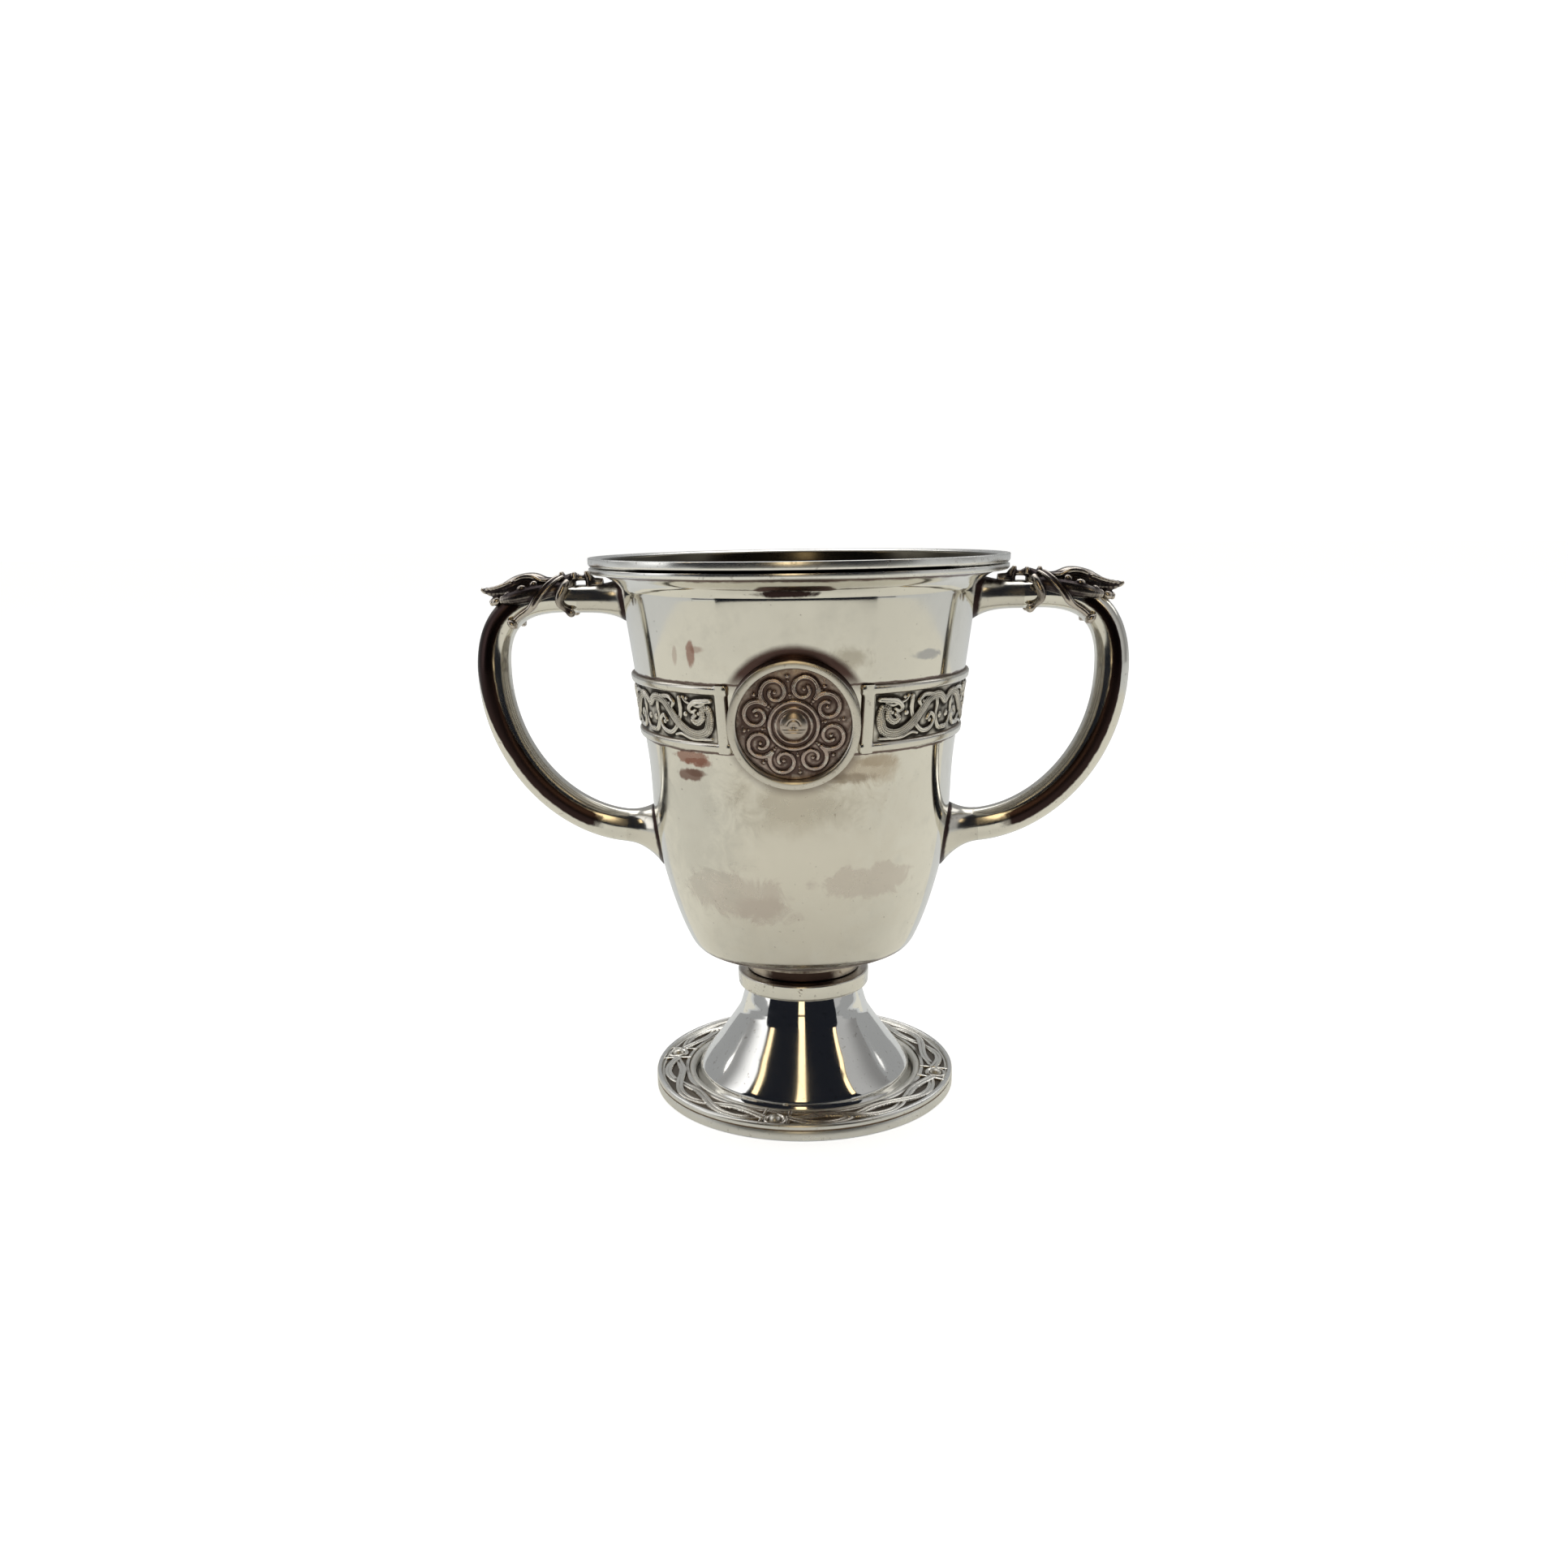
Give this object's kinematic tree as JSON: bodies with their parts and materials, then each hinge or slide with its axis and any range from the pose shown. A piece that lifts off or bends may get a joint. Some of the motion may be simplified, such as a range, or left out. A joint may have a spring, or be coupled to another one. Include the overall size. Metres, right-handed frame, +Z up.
{
  "type": "two-handled cup",
  "caption": "Small silver drinking cup with a bell-shaped bowl, a moulded rim, C-shaped side handles under cast beasts, a relief band with medallions, and a spreading foot.",
  "frame": {"origin": "centre of the foot's resting plane, on the cup's axis", "axes": "+Z up along the cup's axis, +X towards the right-hand handle, -Y towards the front medallion"},
  "size_m": [0.1428, 0.0904, 0.12],
  "materials": {
    "back_medallion_bezel": "worn polish",
    "back_medallion_boss": "worn polish",
    "back_medallion_disc": "brown toned, satin",
    "band_frame_left": "worn polish",
    "band_frame_right": "worn polish",
    "band_panel_left": "darkened in the recesses, worn bright on the high points",
    "band_panel_right": "darkened in the recesses, worn bright on the high points",
    "bowl": "bright polish with light toning",
    "foot_bead": "worn polish",
    "foot_border": "darkened in the recesses, worn bright on the high points",
    "foot_cone": "bright polish with light toning",
    "foot_edge": "worn polish",
    "foot_stud_1": "worn polish",
    "foot_stud_2": "worn polish",
    "foot_stud_3": "worn polish",
    "foot_stud_4": "worn polish",
    "front_medallion_bezel": "worn polish",
    "front_medallion_boss": "worn polish",
    "front_medallion_disc": "brown toned, satin",
    "knop_ring": "bright polish with light toning",
    "left_beast": "darkened in the recesses, worn bright on the high points",
    "left_handle_bar": "bright polish with light toning",
    "left_lower_socket": "bright polish with light toning",
    "left_upper_socket": "bright polish with light toning",
    "right_beast": "darkened in the recesses, worn bright on the high points",
    "right_handle_bar": "bright polish with light toning",
    "right_lower_socket": "bright polish with light toning",
    "right_upper_socket": "bright polish with light toning",
    "rim_moulding": "bright polish with light toning",
    "stem_collar": "worn polish"
  },
  "bodies": {
    "root": {"back_medallion_bezel": "back_medallion_bezel", "back_medallion_boss": "back_medallion_boss", "back_medallion_disc": "back_medallion_disc", "band_frame_left": "band_frame_left", "band_frame_right": "band_frame_right", "band_panel_left": "band_panel_left", "band_panel_right": "band_panel_right", "bowl": "bowl", "foot_bead": "foot_bead", "foot_border": "foot_border", "foot_cone": "foot_cone", "foot_edge": "foot_edge", "foot_stud_1": "foot_stud_1", "foot_stud_2": "foot_stud_2", "foot_stud_3": "foot_stud_3", "foot_stud_4": "foot_stud_4", "front_medallion_bezel": "front_medallion_bezel", "front_medallion_boss": "front_medallion_boss", "front_medallion_disc": "front_medallion_disc", "knop_ring": "knop_ring", "left_beast": "left_beast", "left_handle_bar": "left_handle_bar", "left_lower_socket": "left_lower_socket", "left_upper_socket": "left_upper_socket", "right_beast": "right_beast", "right_handle_bar": "right_handle_bar", "right_lower_socket": "right_lower_socket", "right_upper_socket": "right_upper_socket", "rim_moulding": "rim_moulding", "stem_collar": "stem_collar"}
  },
  "joints": []
}
